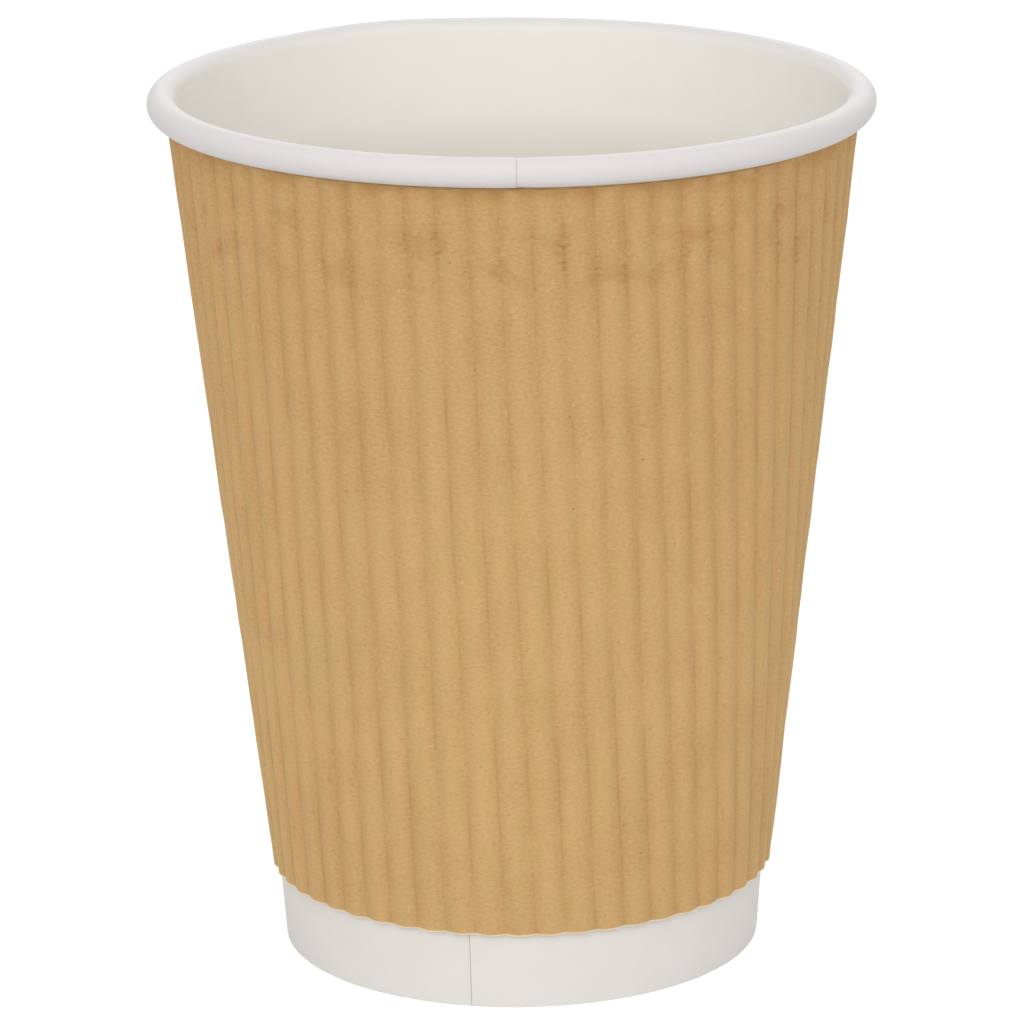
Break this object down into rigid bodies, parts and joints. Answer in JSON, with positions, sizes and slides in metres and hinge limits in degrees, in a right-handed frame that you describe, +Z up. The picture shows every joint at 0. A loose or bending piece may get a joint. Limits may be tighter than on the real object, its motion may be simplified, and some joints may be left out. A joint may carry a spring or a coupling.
{
  "type": "paper coffee cup",
  "caption": "Open tapered paper cup for hot drinks, with a rolled rim, a folded foot and a fluted kraft wrap glued round it for grip and insulation.",
  "frame": {"origin": "middle of the foot, on the surface that the cup stands on", "axes": "+Z up along the cup's axis, -Y towards the side seam, which faces the camera in the picture"},
  "size_m": [0.09, 0.09, 0.11],
  "materials": {
    "wall_board": "white board, coated, satin",
    "bottom_board": "white board, coated, satin",
    "kraft": "uncoated brown kraft, matte, with fine dark fibres"
  },
  "bodies": {
    "root": {"cup_wall": "wall_board", "cup_bottom": "bottom_board", "ripple_sleeve": "kraft"}
  },
  "joints": []
}
